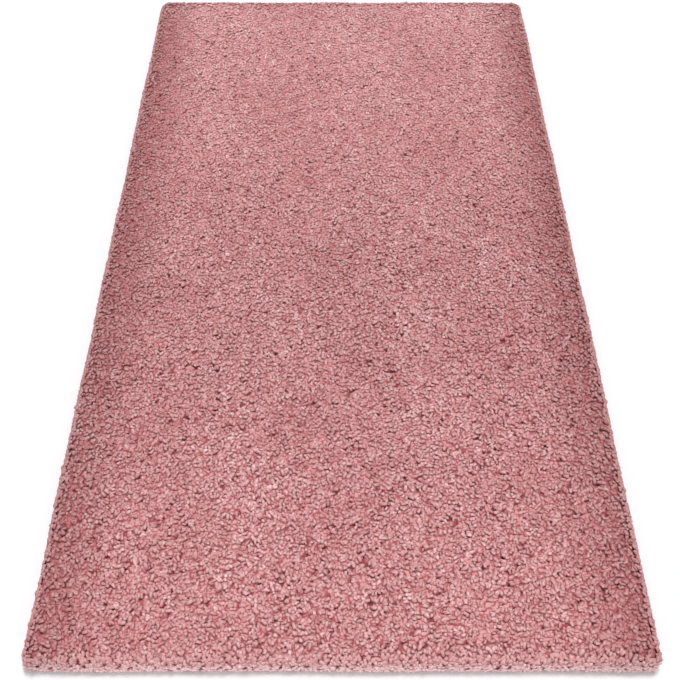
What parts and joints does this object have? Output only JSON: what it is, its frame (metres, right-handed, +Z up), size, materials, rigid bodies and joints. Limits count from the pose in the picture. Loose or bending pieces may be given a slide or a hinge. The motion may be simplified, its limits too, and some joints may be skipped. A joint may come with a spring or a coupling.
{
  "type": "shag rug",
  "caption": "Rectangular shag rug in plain dusty pink, with a deep cut pile on a flat woven backing, lying flat, its pile rounded over at the edges.",
  "frame": {"origin": "middle of the flat underside, on the floor", "axes": "+X across the rug, +Y along the rug to its far end, +Z up out of the pile"},
  "size_m": [0.8022, 1.5022, 0.0358],
  "materials": {
    "pile": "matte deep cut pile"
  },
  "bodies": {
    "root": {"rug": "pile"}
  },
  "joints": []
}
